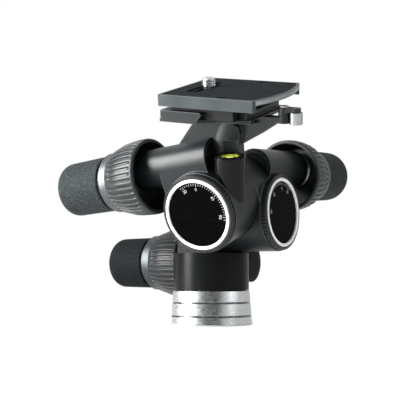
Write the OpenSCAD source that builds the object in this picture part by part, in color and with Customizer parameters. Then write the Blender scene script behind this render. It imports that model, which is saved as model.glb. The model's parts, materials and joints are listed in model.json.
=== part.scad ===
// Geared tripod head with three axes: pan, forward tilt and sideways roll.
// Each axis is a worm wheel fixed to the part below and a worm in the casting above.
// Turning a rubber grip turns its worm; turning the ribbed collar swings the worm out of mesh.
// Frame: +Z up along the pan axis, +X out of the tilt dial, -Y out of the roll dial.
// Origin: centre of the base's bottom face. The head is modelled tilted, as it is pictured.

/* [Pose at rest] */
// Forward tilt of the upper head from level, in degrees
tilt_rest = 20; // [-20:1:28]
// Roll of the plate to the right from level, in degrees
roll_rest = 10; // [-20:1:20]

/* [Base] */
// Radius of the base at its bottom edge
base_r = 30; // [29:0.5:34]
// Radius of the base at its top edge
base_top_r = 27.8; // [27.6:0.1:29]
// Height of the base
base_h = 24.7; // [23:0.1:28]
// Height of the lower groove
groove_low = 6.5; // [5:0.5:9]
// Height of the upper groove
groove_high = 16; // [13:0.5:19]
// Width and depth of the grooves
groove_w = 0.8; // [0.4:0.1:1.2]
// Radius of the tripod thread
thread_r = 4.2; // [3:0.1:4.8]
// Depth of the tripod thread
thread_depth = 12; // [8:0.5:13]

/* [Pan housing] */
// Radius of the pan housing
pan_r = 27.4; // [27.2:0.1:27.6]
// Height of the pan worm above the bottom
pan_worm_h = 45.5; // [45:0.5:46.5]
// Gap between the base and the turning housing
turn_gap = 0.4; // [0.2:0.1:0.6]
// Radius of the arm that carries the tilt shaft
arm_r = 14.5; // [14:0.5:16]
// Distance of the arm's outer end from the pan axis
arm_end = 20; // [19:0.5:21]

/* [Castings] */
// Height of the tilt axis above the bottom
tilt_h = 79.5; // [79:0.5:86]
// Distance of the roll axis to the right of the pan axis
roll_x = 27.4; // [27.3:0.1:30]
// Height of the roll axis above the tilt axis
roll_up = 17.3; // [16.5:0.1:18.5]
// Radius of both drums
drum_r = 27.2; // [27:0.1:27.6]
// Distance of the front face of each drum from the axis crossing it
face_dist = 56.8; // [56:0.2:58]
// Distance of the tilt casting's face to the right of the roll axis
tilt_face = 27.6; // [27.6:0.1:28.4]
// Distance from the tilt axis back to the seam between the two castings
seam_dist = 23.6; // [23.6:0.1:24]
// Radius of the gear chamber in each casting
chamber_r = 22.2; // [22.2:0.1:22.4]

/* [Drive] */
// Teeth of each worm wheel
wheel_teeth = 44; // [40:1:44]
// Size of a tooth: pitch diameter over tooth count
tooth_size = 0.96; // [0.9:0.02:0.96]
// Pitch radius of each worm
worm_r = 5.9; // [5.5:0.1:5.9]
// Face width of each worm wheel
wheel_w = 5; // [4:0.5:5]
// Offset of the worm from its tube, which swings it out of mesh
swing = 4.5; // [4:0.1:4.5]
// Angle by which the upper knobs hang below level
droop = 15; // [10:1:18]
// Outer radius of the worm tubes
tube_r = 14; // [13.4:0.1:14.4]
// Radius of the bore in the worm tubes
tube_bore_r = 11.2; // [11.2:0.1:11.4]
// Length of a tube from the wheel to its open end
tube_len = 50; // [48:1:52]
// Length of a tube from the wheel to its closed end
tube_back = 10.5; // [10.5:0.5:12]
// Radius of the main shafts
shaft_r = 9; // [8:0.5:9]
// Radial clearance of turning fits
fit = 0.05; // [0.03:0.01:0.08]

/* [Knobs] */
// Distance of the collar's open rim from the wheel
collar_at = 41; // [40:0.5:43]
// Length of the ribbed part of the collar
collar_len = 28.5; // [27:0.5:31]
// Radius of the collar at its open rim
collar_r = 26.6; // [26:0.2:27.4]
// Radius of the collar at the bright ring
collar_front_r = 22.4; // [22:0.2:23]
// Number of ribs round a collar
rib_count = 40; // [32:1:44]
// Width of the bright ring
ring_w = 6.4; // [4:0.2:7]
// Radius of the rubber grip
grip_r = 19.9; // [18:0.1:21]
// Length of the rubber grips on the tilt and roll knobs
grip_len = 42.5; // [38:0.5:50]
// Length of the rubber grip on the pan knob
pan_grip_len = 36; // [34:0.5:44]
// Distance by which the pan knob sits closer to the head
pan_in = 8.5; // [6:0.5:9]
// Thickness of the rubber
grip_wall = 4; // [3:0.5:5]

/* [Dials] */
// Outer radius of the dark bezel
bezel_r = 26.5; // [26.2:0.1:26.8]
// Outer radius of the white ring
ring_r = 24.2; // [24:0.1:24.4]
// Inner radius of the white ring
ring_in_r = 21.9; // [21:0.1:22.4]
// Height of the bezel on the drum's face
bezel_h = 4.2; // [4:0.1:5]

/* [Plate and clamp] */
// Width of the camera plate
plate_w = 70; // [66:1:72]
// Distance of the plate's middle to the right of the roll axis
plate_x = 2.5; // [1:0.5:3]
// Depth of the camera plate at its sides
plate_d = 72; // [68:1:74]
// Thickness of the camera plate
plate_t = 7.6; // [7.2:0.2:9]
// Height of the plate's top above the roll axis
plate_top = 76.4; // [76.4:0.2:80]
// Distance of the plate's middle in front of the tilt axis
plate_y = 16.5; // [15.5:0.5:17.5]
// Outward bulge of the plate's right edge
plate_bulge = 7; // [3:0.5:8]
// Height of the clamp's jaw
clamp_t = 7.6; // [7.2:0.2:8]
// Height of the open joint between the jaw and the plate
clamp_gap = 3; // [2.4:0.2:3.4]
// Clearance round the plate's foot
slide_gap = 0.3; // [0.2:0.05:0.4]
// Radius of the camera screw
screw_r = 4.7; // [3.1:0.1:4.8]
// Height of the camera screw above the plate
screw_up = 6; // [5:0.5:8]
// Height above the plate at which the camera screw's thin neck ends
screw_neck = 0.5; // [0.3:0.1:1]

/* [Level] */
// Radius of the level's boss
level_r = 10.4; // [10:0.1:10.8]
// Distance of the boss to the right of the roll axis
level_x = 16.8; // [16:0.2:17.6]
// Distance of the boss in front of the tilt axis
level_y = 45; // [44:0.2:46]
// Height of the boss above the roll axis
level_top = 38.2; // [37:0.2:39]

/* [Hidden] */
$fn = 96;
lead = PI * tooth_size;
wheel_r = wheel_teeth * tooth_size / 2;
addendum = 0.7 * tooth_size / 0.96;
tooth_root = 1.05 * tooth_size / 0.96;
mesh_dist = wheel_r + worm_r;
tube_dist = mesh_dist + swing;
sleeve_r = tube_bore_r - fit;
bush_r = shaft_r + 2;
journal_r = 3.6;
ring_seat_r = collar_front_r - 4;
tilt_wheel_x = roll_x + tilt_face - 12.6;
roll_wheel_y = face_dist - 19.3;
tilt_end = roll_x + tilt_face;
hub_len = 4;
hub_r = 13;
nut_len = 3.6;
dial_t = 1.6;
ring_at = collar_at + collar_len;
grip_at = ring_at + ring_w + 1.2;
shaft_end = grip_at + 26;
clamp_top = plate_top - plate_t - clamp_gap;
clamp_floor = clamp_top - clamp_t;
tray_t = 2.2;
foot_left = -26;
foot_right = 20;
foot_base = clamp_floor + tray_t + 0.1;
plate_base = plate_top - plate_t;
tray_front = plate_y + plate_d / 2 - 1.5;
tray_back = plate_d / 2 - plate_y - 1;
slot_x = -15.3;
lever_x = 47.8;
lever_y = 28;
lever_r = 3.85;
lever_z = clamp_top + 0.4;
web_front = 32;
web_back = seam_dist + 0.4;

// ---------- frames ----------

// Frame of the tilt casting: origin on the tilt axis above the pan axis
module tilted() {
    translate([0, 0, tilt_h]) rotate([tilt_rest, 0, 0]) children();
}

// Frame of the roll casting: origin on the roll axis, Z square to the plate
module rolled() {
    tilted() translate([roll_x, 0, roll_up]) rotate([0, roll_rest, 0]) children();
}

// Frame of a drive: X out along the tube, -Z from the tube's axis to the wheel
module pan_drive() {
    translate([0, tube_dist, pan_worm_h]) rotate([90, 0, 180]) children();
}

module tilt_drive() {
    tilted() translate([tilt_wheel_x, 0, 0]) rotate([-droop, 0, 0])
        translate([0, 0, tube_dist]) rotate([0, 0, 90]) children();
}

module roll_drive() {
    rolled() translate([0, -roll_wheel_y, 0]) rotate([0, -droop, 0])
        translate([0, 0, tube_dist]) rotate([0, 0, 180]) children();
}

// ---------- shared shapes ----------

// Cylinder along X from x0 to x1
module rod_x(r, x0, x1) {
    translate([x0, 0, 0]) rotate([0, 90, 0]) cylinder(r = r, h = x1 - x0);
}

// Cylinder along -Y from y0 forward to y1, both counted forward
module rod_y(r, y0, y1) {
    translate([0, -y0, 0]) rotate([90, 0, 0]) cylinder(r = r, h = y1 - y0);
}

// Profile turned round the X axis; its points are [along, radius]
module turned_x() {
    rotate([0, 90, 0]) rotate_extrude() rotate(90) mirror([0, 1, 0]) children();
}

// Points of a tube swept along a helix round X: a ring of profile points per step
function helix_points(profile, r, pitch, a0, a1, steps) = [
    for (i = [0 : steps])
        let (a = a0 + (a1 - a0) * i / steps, x = pitch * (a + 90) / 360)
            for (p = profile)
                [x + p[0], (r + p[1]) * cos(a), (r + p[1]) * sin(a)]
];

function helix_faces(n, steps) = concat(
    [[for (j = [0 : n - 1]) j]],
    [for (i = [0 : steps - 1]) for (j = [0 : n - 1])
        [i * n + j, (i + 1) * n + j, (i + 1) * n + (j + 1) % n, i * n + (j + 1) % n]],
    [[for (j = [n - 1 : -1 : 0]) steps * n + j]]
);

module helix(profile, r, pitch, a0, a1, steps) {
    polyhedron(
        points = helix_points(profile, r, pitch, a0, a1, steps),
        faces = helix_faces(len(profile), steps)
    );
}

// Outline of a worm wheel with a gap facing +X
module wheel_outline() {
    step = 360 / wheel_teeth;
    tip_half = 0.42 / wheel_r * 180 / PI;
    root_half = 0.86 / wheel_r * 180 / PI;
    tip_r = wheel_r + addendum;
    root_r = wheel_r - tooth_root;
    polygon([
        for (i = [0 : wheel_teeth - 1])
            let (a = (i + 0.5) * step)
                for (q = [[root_r, -root_half], [tip_r, -tip_half], [tip_r, tip_half], [root_r, root_half]])
                    [q[0] * cos(a + q[1]), q[0] * sin(a + q[1])]
    ]);
}

// Worm wheel in a drive frame, with its hub on the +Y or -Y side
module wheel(hub_side) {
    translate([0, 0, -tube_dist]) rotate([90, 0, 0]) difference() {
        union() {
            translate([0, 0, -wheel_w / 2]) linear_extrude(wheel_w) rotate(90) wheel_outline();
            translate([0, 0, hub_side < 0 ? 0 : -wheel_w / 2 - hub_len])
                cylinder(r = hub_r, h = wheel_w / 2 + hub_len);
        }
        translate([0, 0, -20]) cylinder(r = shaft_r, h = 40);
    }
}

// Solid of a worm tube and the web that ties it to the drum below it
module tube_solid(web) {
    rod_x(tube_r, -tube_back, tube_len);
    translate([0, web / 2, 0]) rotate([90, 0, 0]) linear_extrude(web) polygon([
        [drum_r - 0.3, -tube_dist], [drum_r - 0.3, 0], [-tube_back, 0], [-tube_back, -tube_r * 0.7],
        [-drum_r * 0.72, -tube_dist + drum_r * 0.69], [0, -tube_dist]
    ]);
}

module tube_bore() {
    rod_x(tube_bore_r, -tube_back - 1, tube_len + 1);
}

// Plug that closes a tube's back end
module tube_cap() {
    color("#101212") rod_x(tube_bore_r, -tube_back + 0.3, -tube_back + 1.5);
}

// Eccentric sleeve: carries the worm off-centre and opens towards the wheel
module sleeve(in) {
    cut_r = sleeve_r + 4;
    color("#b9bcc0") difference() {
        rod_x(sleeve_r, -tube_back + 2.8, ring_at - in - 3);
        translate([0, 0, -swing]) rod_x(journal_r, -tube_back, ring_at);
        translate([0, 0, -swing]) rod_x(worm_r + addendum + 0.4, -tube_back, 14);
        translate([-tube_back, 0, 0]) rotate([90, 0, 90]) linear_extrude(tube_back + 14) polygon([
            [0, 3.5],
            for (a = [-40 : -23 : -201]) [cut_r * cos(a) * 1.1, cut_r * sin(a) * 1.1]
        ]);
    }
}

// Worm and its long shaft, turning in the sleeve
module worm(in) {
    flank = 0.62;
    color("#c9b27a") translate([0, 0, -swing]) {
        rod_x(journal_r - fit, 11, shaft_end - in);
        rod_x(worm_r - tooth_root, -tube_back + 2.7, 13);
        helix(
            [[flank + 0.32, -tooth_root - 0.3], [flank - 0.24, addendum],
             [-flank + 0.24, addendum], [-flank - 0.32, -tooth_root - 0.3]],
            worm_r, lead, -810, 990, 100
        );
    }
}

// Outline of a ribbed collar: rounded ribs between narrow grooves
module rib_outline() {
    step = 360 / rib_count;
    deep = collar_r - 0.9;
    polygon([
        for (i = [0 : rib_count - 1])
            for (q = [[deep, 0], [deep, 0.14], [collar_r, 0.26], [collar_r + 0.15, 0.57], [collar_r, 0.88]])
                [q[0] * cos((i + q[1]) * step), q[0] * sin((i + q[1]) * step)]
    ]);
}

// Ribbed collar: a cup open towards the head, fixed to the sleeve and centred on the worm
module collar(in) {
    from = collar_at - in;
    end = ring_at - in;
    shell = 2.6;
    color("#2e3436") difference() {
        translate([0, 0, -swing]) union() {
            intersection() {
                translate([from, 0, 0]) rotate([90, 0, 90]) linear_extrude(collar_len) rib_outline();
                turned_x() polygon([
                    [from, 0], [from, collar_r - 0.6], [from + 1.2, collar_r + 0.07],
                    [from + 6, collar_r + 0.2], [from + 17, collar_r - 0.8],
                    [end - 6.5, collar_front_r + 1.8], [end - 2, collar_front_r + 0.7], [end, collar_front_r - 0.6],
                    [end, 0]
                ]);
            }
            rod_x(ring_seat_r, end - 1, end + ring_w - 0.4);
        }
        translate([0, 0, -swing]) turned_x() polygon([
            [from - 1, 0], [from - 1, collar_r - shell], [from + 12, collar_r - shell - 0.6],
            [from + 16, collar_r - shell - 3.5], [from + 16, 0]
        ]);
        translate([0, 0, -swing]) rod_x(journal_r + 0.4, from, end + ring_w + 1);
        rod_x(sleeve_r, from, end - 3);
    }
}

// Bright ring on the collar's front
module bright_ring(in) {
    from = ring_at - in;
    color("#c3c8ca") translate([0, 0, -swing]) turned_x() polygon([
        [from, ring_seat_r], [from, collar_front_r - 0.7], [from + ring_w - 0.8, collar_front_r - 1],
        [from + ring_w, collar_front_r - 1.8], [from + ring_w, ring_seat_r]
    ]);
}

// Torsion spring that turns the collar back, round the sleeve
module spring(in) {
    wire = 0.8;
    profile = [for (k = [0 : 5]) [wire * cos(k * 60), wire * sin(k * 60)]];
    turns = 2;
    from = collar_at - in + 10;
    color("#8d9296") translate([from, 0, 0])
        helix(profile, sleeve_r + 1.6, 2.1, -90, -90 + 360 * turns, 20 * turns);
}

// Metal core of a knob, fixed on the worm shaft
module knob_hub(in, len) {
    in_r = grip_r - grip_wall;
    from = grip_at - in;
    color("#3a3f42") translate([0, 0, -swing]) difference() {
        union() {
            rod_x(in_r, from, from + len - grip_wall - 1);
            rod_x(grip_r - 1.4, from, from + 1.6);
        }
        rod_x(journal_r - fit, from - 1, shaft_end - in);
    }
}

// Rubber grip: a sleeve with a rounded, closed end
module grip(in, len) {
    in_r = grip_r - grip_wall;
    from = grip_at - in;
    end = from + len;
    soft = 8;
    color("#262b2d") translate([0, 0, -swing]) turned_x() polygon(concat(
        [[from + 1.7, in_r], [from + 1.7, grip_r - 0.5], [from + 2.4, grip_r]],
        [for (a = [90 : -10 : 0]) [end - soft + soft * cos(a), grip_r - 0.4 - soft + soft * sin(a)]],
        [[end, 0], [end - grip_wall - 1, 0], [end - grip_wall - 1, in_r]]
    ));
}

// Bezel on a drum's face, in a frame with +X out of the face at x = 0
module bezel(rebate_r, rebate_t) {
    knurls = 60;
    color("#1d2021") difference() {
        intersection() {
            turned_x() polygon([
                [0, 0], [0, bezel_r], [bezel_h - 1, bezel_r], [bezel_h, bezel_r - 1], [bezel_h, 0]
            ]);
            rotate([90, 0, 90]) linear_extrude(bezel_h) polygon([
                for (i = [0 : knurls - 1])
                    for (q = [[bezel_r - 0.5, 0], [bezel_r + 0.05, 0.25], [bezel_r + 0.05, 0.75]])
                        [q[0] * cos((i + q[1]) * 360 / knurls), q[0] * sin((i + q[1]) * 360 / knurls)]
            ]);
        }
        rod_x(ring_r, rebate_t, bezel_h + 1);
        rod_x(ring_in_r + 0.1, -1, bezel_h + 1);
        rod_x(rebate_r, -1, rebate_t);
    }
}

// White ring round a dial, resting at x = from
module scale_ring(from) {
    color("#f2f3f1") turned_x() polygon([
        [from, ring_in_r], [from, ring_r], [bezel_h - 0.2, ring_r], [bezel_h + 0.3, ring_r - 0.5],
        [bezel_h + 0.3, ring_in_r + 0.5], [bezel_h, ring_in_r]
    ]);
}

// Frames of the two dials, +X out of the face
module tilt_face_frame() {
    tilted() translate([tilt_end, 0, 0]) children();
}

module roll_face_frame() {
    rolled() translate([0, -face_dist, 0]) rotate([0, 0, -90]) children();
}

// ---------- base ----------

module base_ring() {
    g = groove_w;
    function side(z) = base_r + (base_top_r - base_r) * z / base_h;
    color("#c8cdd0") rotate_extrude() polygon([
        [8, 0], [base_r - 0.8, 0], [side(0.8), 0.8],
        [side(groove_low - g), groove_low - g], [side(groove_low) - g, groove_low],
        [side(groove_low + g), groove_low + g],
        [side(groove_high - g), groove_high - g], [side(groove_high) - g, groove_high],
        [side(groove_high + g), groove_high + g],
        [side(base_h - 0.5), base_h - 0.5], [side(base_h) - 0.6, base_h],
        [bush_r + 6, base_h], [bush_r + 6, base_h - 2], [shaft_r, base_h - 2], [shaft_r, thread_depth + 3],
        [8, thread_depth + 3]
    ]);
}

module tripod_bush() {
    color("#b08d4f") difference() {
        cylinder(r = 8, h = thread_depth + 3);
        translate([0, 0, -1]) cylinder(r = thread_r, h = thread_depth + 1);
    }
}

module pan_shaft() {
    color("#aeb3b6") difference() {
        union() {
            translate([0, 0, thread_depth + 3])
                cylinder(r = shaft_r, h = pan_worm_h + wheel_w / 2 - thread_depth - 3 - 1);
            translate([0, 0, base_h - 2]) cylinder(r = bush_r + 5, h = 2);
        }
        translate([0, 0, pan_worm_h - 14]) cylinder(r = 3, h = 20);
    }
}

module pan_wheel() {
    color("#b99a5b") pan_drive() wheel(-1);
}

// Screw and washer that hold the wheel down on the shaft
module pan_screw() {
    top = pan_worm_h + wheel_w / 2 - 1;
    color("#8d9296") {
        translate([0, 0, top - 11]) cylinder(r = 3, h = 11);
        translate([0, 0, top]) cylinder(r = shaft_r - 0.5, h = 0.9);
    }
}

// ---------- pan housing ----------

module pan_housing() {
    floor_z = base_h + turn_gap;
    shoulder = tilt_h - drum_r - 0.9;
    color("#2b3133") difference() {
        union() {
            translate([0, 0, floor_z]) cylinder(r = pan_r, h = shoulder - floor_z);
            translate([0, 0, floor_z]) intersection() {
                cylinder(r = pan_r, h = tilt_h - floor_z);
                translate([-arm_end, -arm_r, 0]) cube([arm_end - 0.6, arm_r * 2, tilt_h]);
            }
            translate([0, 0, tilt_h]) rod_x(arm_r, -arm_end, -0.6);
            pan_drive() rod_x(tube_r + 1, -16, tube_len - pan_in);
        }
        translate([0, 0, floor_z - 1]) cylinder(r = chamber_r, h = pan_worm_h + wheel_w / 2 + 1.6 - floor_z);
        translate([0, 0, tilt_h]) rod_x(shaft_r, -arm_end + 2, 1);
        translate([0, 0, tilt_h]) rod_x(shaft_r + 2.5, -arm_end - 1, -arm_end + 3);
        pan_drive() rod_x(tube_bore_r, -17, tube_len + 1);
    }
}

// Plate that closes the gear chamber from below and carries the bush
module pan_bearing() {
    z0 = base_h + turn_gap + 0.4;
    z1 = pan_worm_h - wheel_w / 2 - hub_len - 0.1;
    color("#6f767a") difference() {
        translate([0, 0, z0]) cylinder(r = chamber_r, h = z1 - z0);
        translate([0, 0, z0 - 1]) cylinder(r = bush_r, h = 30);
    }
}

module pan_bush() {
    z0 = base_h + turn_gap + 0.2;
    z1 = pan_worm_h - wheel_w / 2 - hub_len - 0.1;
    color("#a9814a") difference() {
        translate([0, 0, z0]) cylinder(r = bush_r, h = z1 - z0);
        translate([0, 0, z0 - 1]) cylinder(r = shaft_r + fit, h = 30);
    }
}

module tilt_shaft() {
    color("#aeb3b6") translate([0, 0, tilt_h]) {
        rod_x(shaft_r, -arm_end + 1, tilt_wheel_x + wheel_w / 2 + hub_len + nut_len);
        rod_x(shaft_r + 2.5, -arm_end, -arm_end + 3);
    }
}

module tilt_wheel() {
    color("#b99a5b") tilt_drive() wheel(-1);
}

module tilt_nut() {
    x0 = tilt_wheel_x + wheel_w / 2 + hub_len;
    color("#8d9296") translate([x0, 0, tilt_h]) rotate([0, 90, 0]) difference() {
        cylinder(r = 13, h = nut_len, $fn = 6);
        translate([0, 0, -1]) cylinder(r = shaft_r, h = nut_len + 2);
    }
}

// Dial of the tilt: a disc on a stem that the shaft holds still while the casting turns
module tilt_dial() {
    stem_at = tilt_wheel_x + wheel_w / 2 + hub_len + nut_len;
    face = tilt_end + bezel_h - 0.9;
    color("#0b0c0d") translate([0, 0, tilt_h]) {
        rod_x(6, stem_at, face - 1);
        rod_x(ring_in_r - 0.3, face - dial_t, face);
    }
}

// ---------- tilt casting ----------

module tilt_casting() {
    color("#343b3d") difference() {
        union() {
            tilted() rod_x(drum_r, 0.1, tilt_end);
            tilted() translate([roll_x, 0, roll_up]) rod_y(drum_r, 0, seam_dist - 0.6);
            tilt_drive() tube_solid(tube_r * 1.7);
        }
        tilted() rod_x(chamber_r, tilt_wheel_x - wheel_w / 2 - 0.5, tilt_end + 1);
        tilted() rod_x(bush_r, -1, tilt_wheel_x);
        tilted() translate([roll_x, 0, roll_up]) rod_y(shaft_r, 12, seam_dist + 1);
        tilted() translate([roll_x, 0, roll_up]) rod_y(drum_r + 0.4, seam_dist - 0.6, face_dist);
        tilted() translate([-1, -60, -20]) cube([13, 60.6 - seam_dist, 70]);
        tilt_face_frame() rod_x(bezel_r + 0.3, 0, 20);
        tilt_drive() tube_bore();
    }
}

module tilt_bush() {
    color("#a9814a") tilted() difference() {
        rod_x(bush_r, 0.1, tilt_wheel_x - wheel_w / 2 - 0.5);
        rod_x(shaft_r + fit, -1, tilt_end);
    }
}

module roll_shaft() {
    color("#aeb3b6") tilted() translate([roll_x, 0, roll_up])
        rod_y(shaft_r, 12, roll_wheel_y + wheel_w / 2 + hub_len + nut_len);
}

// The roll wheel turns with the tilt casting, so its teeth meet the worm at rest
module roll_wheel() {
    color("#b99a5b") roll_drive() wheel(1);
}

module roll_nut() {
    y0 = roll_wheel_y + wheel_w / 2 + hub_len;
    color("#8d9296") tilted() translate([roll_x, -y0, roll_up]) rotate([90, 0, 0]) difference() {
        cylinder(r = 13, h = nut_len, $fn = 6);
        translate([0, 0, -1]) cylinder(r = shaft_r, h = nut_len + 2);
    }
}

// ---------- roll casting ----------

// Web that rises from the drum to the clamp and leans to the right
module web() {
    top = clamp_floor;
    translate([0, -web_back, 0]) rotate([90, 0, 0]) linear_extrude(web_front - web_back) polygon([
        [-24, 8], [-30.6, 37.4], [-18.6, 53.6], [-14, top], [31, top], [34, top + 4.2], [46.5, top + 4.2],
        [46.5, top + 2.2], [31.6, top - 7.7], [16.5, top - 16.6], [18, 8]
    ]);
}

// Pillar in front of the web: upright on the right, leaning on the left, with a rounded front
module pillar() {
    top = clamp_floor;
    intersection() {
        translate([0, -web_front + 2, 0]) rotate([90, 0, 0]) linear_extrude(14) polygon([
            [-12, 22], [-6.6, 35.6], [4.5, top - 3.2], [9, top - 0.4], [15, top - 0.4], [18.6, top - 3],
            [19.6, top - 8], [17.4, 42], [17.4, 14]
        ]);
        translate([3, -web_front + 6, 30]) rotate([0, 18, 0]) translate([0, 0, -30]) cylinder(r = 13, h = 80);
    }
}

module roll_casting() {
    color("#3a4244") difference() {
        union() {
            rolled() rod_y(drum_r, seam_dist, face_dist);
            rolled() web();
            rolled() pillar();
            rolled() translate([lever_x, -lever_y, clamp_floor + 0.6])
                cylinder(r = lever_r, h = lever_z - 0.1 - clamp_floor - 0.6);
            roll_drive() tube_solid(tube_r * 2);
        }
        rolled() rod_y(chamber_r, roll_wheel_y - wheel_w / 2 - 0.5, face_dist + 1);
        rolled() rod_y(bush_r, seam_dist - 1, face_dist);
        roll_drive() tube_bore();
        rolled() translate([level_x, -level_y, 8]) cylinder(r = level_r, h = level_top);
        rolled() translate([lever_x, -lever_y, lever_z - 6]) cylinder(r = 1.6, h = 10);
        rolled() for (q = screw_spots()) translate([q[0], -q[1], clamp_floor - 6]) cylinder(r = 1.5, h = 10);
    }
}

function screw_spots() = [[-8, 28], [6, 28], [20, 28]];

module roll_bush() {
    color("#a9814a") rolled() difference() {
        rod_y(bush_r, seam_dist, roll_wheel_y - wheel_w / 2 - 0.5);
        rod_y(shaft_r + fit, seam_dist - 1, face_dist);
    }
}

// Dial of the roll: a disc held between the drum's face and the bezel
module roll_dial() {
    color("#0b0c0d") roll_face_frame() {
        rod_x(chamber_r + 0.7, 0, dial_t);
        rod_x(ring_in_r, dial_t, bezel_h - 0.9);
    }
}

// Upright boss of the level: its foot follows the drum it stands on
module level_boss() {
    color("#121415") difference() {
        rolled() translate([level_x, -level_y, 8.2]) cylinder(r = level_r, h = level_top - 9.4);
        rolled() rod_y(drum_r, seam_dist - 10, face_dist + 20);
        rolled() translate([level_x, -level_y, level_top - 7]) cylinder(r = level_r - 3, h = 8);
    }
}

module level_vial() {
    color("#d6e03a") rolled() translate([level_x, -level_y, level_top - 7])
        cylinder(r = level_r - 3.4, h = 6.2);
}

module level_rim() {
    color("#15181a") rolled() translate([level_x, -level_y, 0]) rotate_extrude() polygon([
        [level_r - 3, level_top - 4], [level_r - 3, level_top - 1.2], [level_r, level_top - 1.2],
        [level_r, level_top - 0.5], [level_r - 0.5, level_top], [level_r - 4.2, level_top],
        [level_r - 4.2, level_top - 0.7], [level_r - 3.4, level_top - 0.7], [level_r - 3.4, level_top - 4]
    ]);
}

// ---------- clamp and plate ----------

// Clamp body: a tray with a jaw on the left, a stop in front and a low rib on the right
module clamp_body() {
    left = plate_x - plate_w / 2 + 0.4;
    color("#31383a") rolled() difference() {
        union() {
            translate([0, 0, clamp_floor]) linear_extrude(tray_t) polygon([
                [left, -tray_front], [-6, -tray_front], [6, -42], [29, -38], [29, tray_back - 6], [24, tray_back],
                [left, tray_back]
            ]);
            translate([left, -tray_front, clamp_floor])
                rounded_slab(foot_left - slide_gap - left, tray_front + tray_back, clamp_t, 1.5);
            translate([0, -tray_front + 5, 0]) rotate([90, 0, 0]) linear_extrude(5) polygon([
                [left + 1.5, clamp_floor], [-5.5, clamp_floor], [-4, clamp_floor + 1.2], [-0.5, clamp_top - 1.5],
                [-1.5, clamp_top], [left + 1.5, clamp_top]
            ]);
            translate([foot_right + slide_gap, -37, clamp_floor]) cube([5, 37 + tray_back - 6, 6.4]);
        }
        translate([0, -tray_front + 5, 0]) rotate([90, 0, 180]) linear_extrude(plate_d + 10) mirror([1, 0])
            foot_outline(slide_gap, 0.1);
        for (q = screw_spots()) translate([q[0], -q[1], clamp_floor - 1]) cylinder(r = 1.5, h = 8);
    }
}

// Flat slab with rounded corners in plan
module rounded_slab(w, d, h, r) {
    linear_extrude(h) union() {
        translate([r, 0]) square([w - 2 * r, d]);
        translate([0, r]) square([w, d - 2 * r]);
        for (x = [r, w - r]) for (y = [r, d - r]) translate([x, y]) circle(r = r);
    }
}

// End view of the plate's foot: its left side flares out under the jaw
module foot_outline(grow, drop) {
    flare = 2;
    z0 = foot_base - drop;
    polygon([
        [foot_left - flare - grow, z0], [foot_left - flare - grow, foot_base + 1],
        [foot_left - grow, foot_base + 3 + grow], [foot_left - grow, plate_base + 1],
        [foot_right + grow, plate_base + 1], [foot_right + grow, z0]
    ]);
}

module clamp_screws() {
    color("#8d9296") rolled() for (q = screw_spots())
        translate([q[0], -q[1], clamp_floor - 6]) cylinder(r = 1.5, h = 6 + tray_t - 0.1);
}

// Clamp lever: a flat arm on a pivot, seen beside the plate
module clamp_lever() {
    reach = 8.2;
    color("#16191a") rolled() translate([lever_x, -lever_y, lever_z]) difference() {
        union() {
            cylinder(r = lever_r, h = 2.8);
            translate([0, -3, 0]) cube([reach, 6, 2.8]);
            translate([reach, 0, 0]) cylinder(r = 3.2, h = 2.8);
        }
        translate([0, 0, -1]) cylinder(r = 1.6 + fit, h = 8);
        translate([reach, 0, -1]) cylinder(r = 1.4, h = 3);
    }
}

// Screw the lever turns on
module lever_pivot() {
    color("#8d9296") rolled() translate([lever_x, -lever_y, 0]) {
        translate([0, 0, lever_z - 6]) cylinder(r = 1.6, h = 8.9);
        translate([0, 0, lever_z + 2.9]) cylinder(r = 2.6, h = 0.9);
    }
}

// Bright thumb piece under the end of the lever
module lever_tip() {
    color("#d5d9db") rolled() translate([lever_x + 8.2, -lever_y, 0]) {
        translate([0, 0, lever_z - 7.6]) cylinder(r = 4.3, h = 7.6);
        translate([0, 0, lever_z - 1]) cylinder(r = 1.4, h = 3);
    }
}

// Outline of the plate in plan: straight sides and a bulging right edge
module plate_outline(inset) {
    w = plate_w / 2 - inset;
    d = plate_d / 2 - inset;
    c = 2.5;
    big = (d * d + plate_bulge * plate_bulge) / (2 * plate_bulge);
    translate([plate_x, 0]) union() {
        polygon([[-w, -d + 1], [-w + 1, -d], [w, -d], [w, d], [-w + c, d], [-w, d - c]]);
        intersection() {
            translate([w + plate_bulge - big, 0]) circle(r = big, $fn = 200);
            translate([0, -d]) square([w + plate_bulge, 2 * d]);
        }
    }
}

module camera_plate() {
    lip = 3.6;
    color("#6f7678") rolled() translate([0, -plate_y, 0]) difference() {
        union() {
            translate([0, 0, plate_base]) linear_extrude(plate_t) plate_outline(0);
            translate([0, plate_d / 2 - 2, 0]) rotate([90, 0, 0]) linear_extrude(plate_d - 9) intersection() {
                foot_outline(0, 0);
                translate([-40, 0]) square([80, plate_base + 0.5]);
            }
        }
        translate([0, 0, plate_top - 1.2]) linear_extrude(2) plate_outline(1.4);
        translate([0, 0, plate_base - 1]) linear_extrude(plate_t - lip + 1) difference() {
            translate([27, -plate_d / 2 + 3]) square([30, plate_d - 6]);
            translate([-40, -40]) square([67, 80]);
        }
        translate([0, 0, foot_base - 1]) linear_extrude(30) slot_outline(screw_r + 0.5);
        translate([0, 0, foot_base - 1]) linear_extrude(plate_base - foot_base + 4.4) slot_outline(7.6);
    }
}

// Slot for the camera screw, along the depth of the plate
module slot_outline(r) {
    union() {
        translate([slot_x - r, -16]) square([2 * r, 31.5]);
        translate([slot_x, -16]) circle(r = r);
        translate([slot_x, 15.5]) circle(r = r);
    }
}

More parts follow.
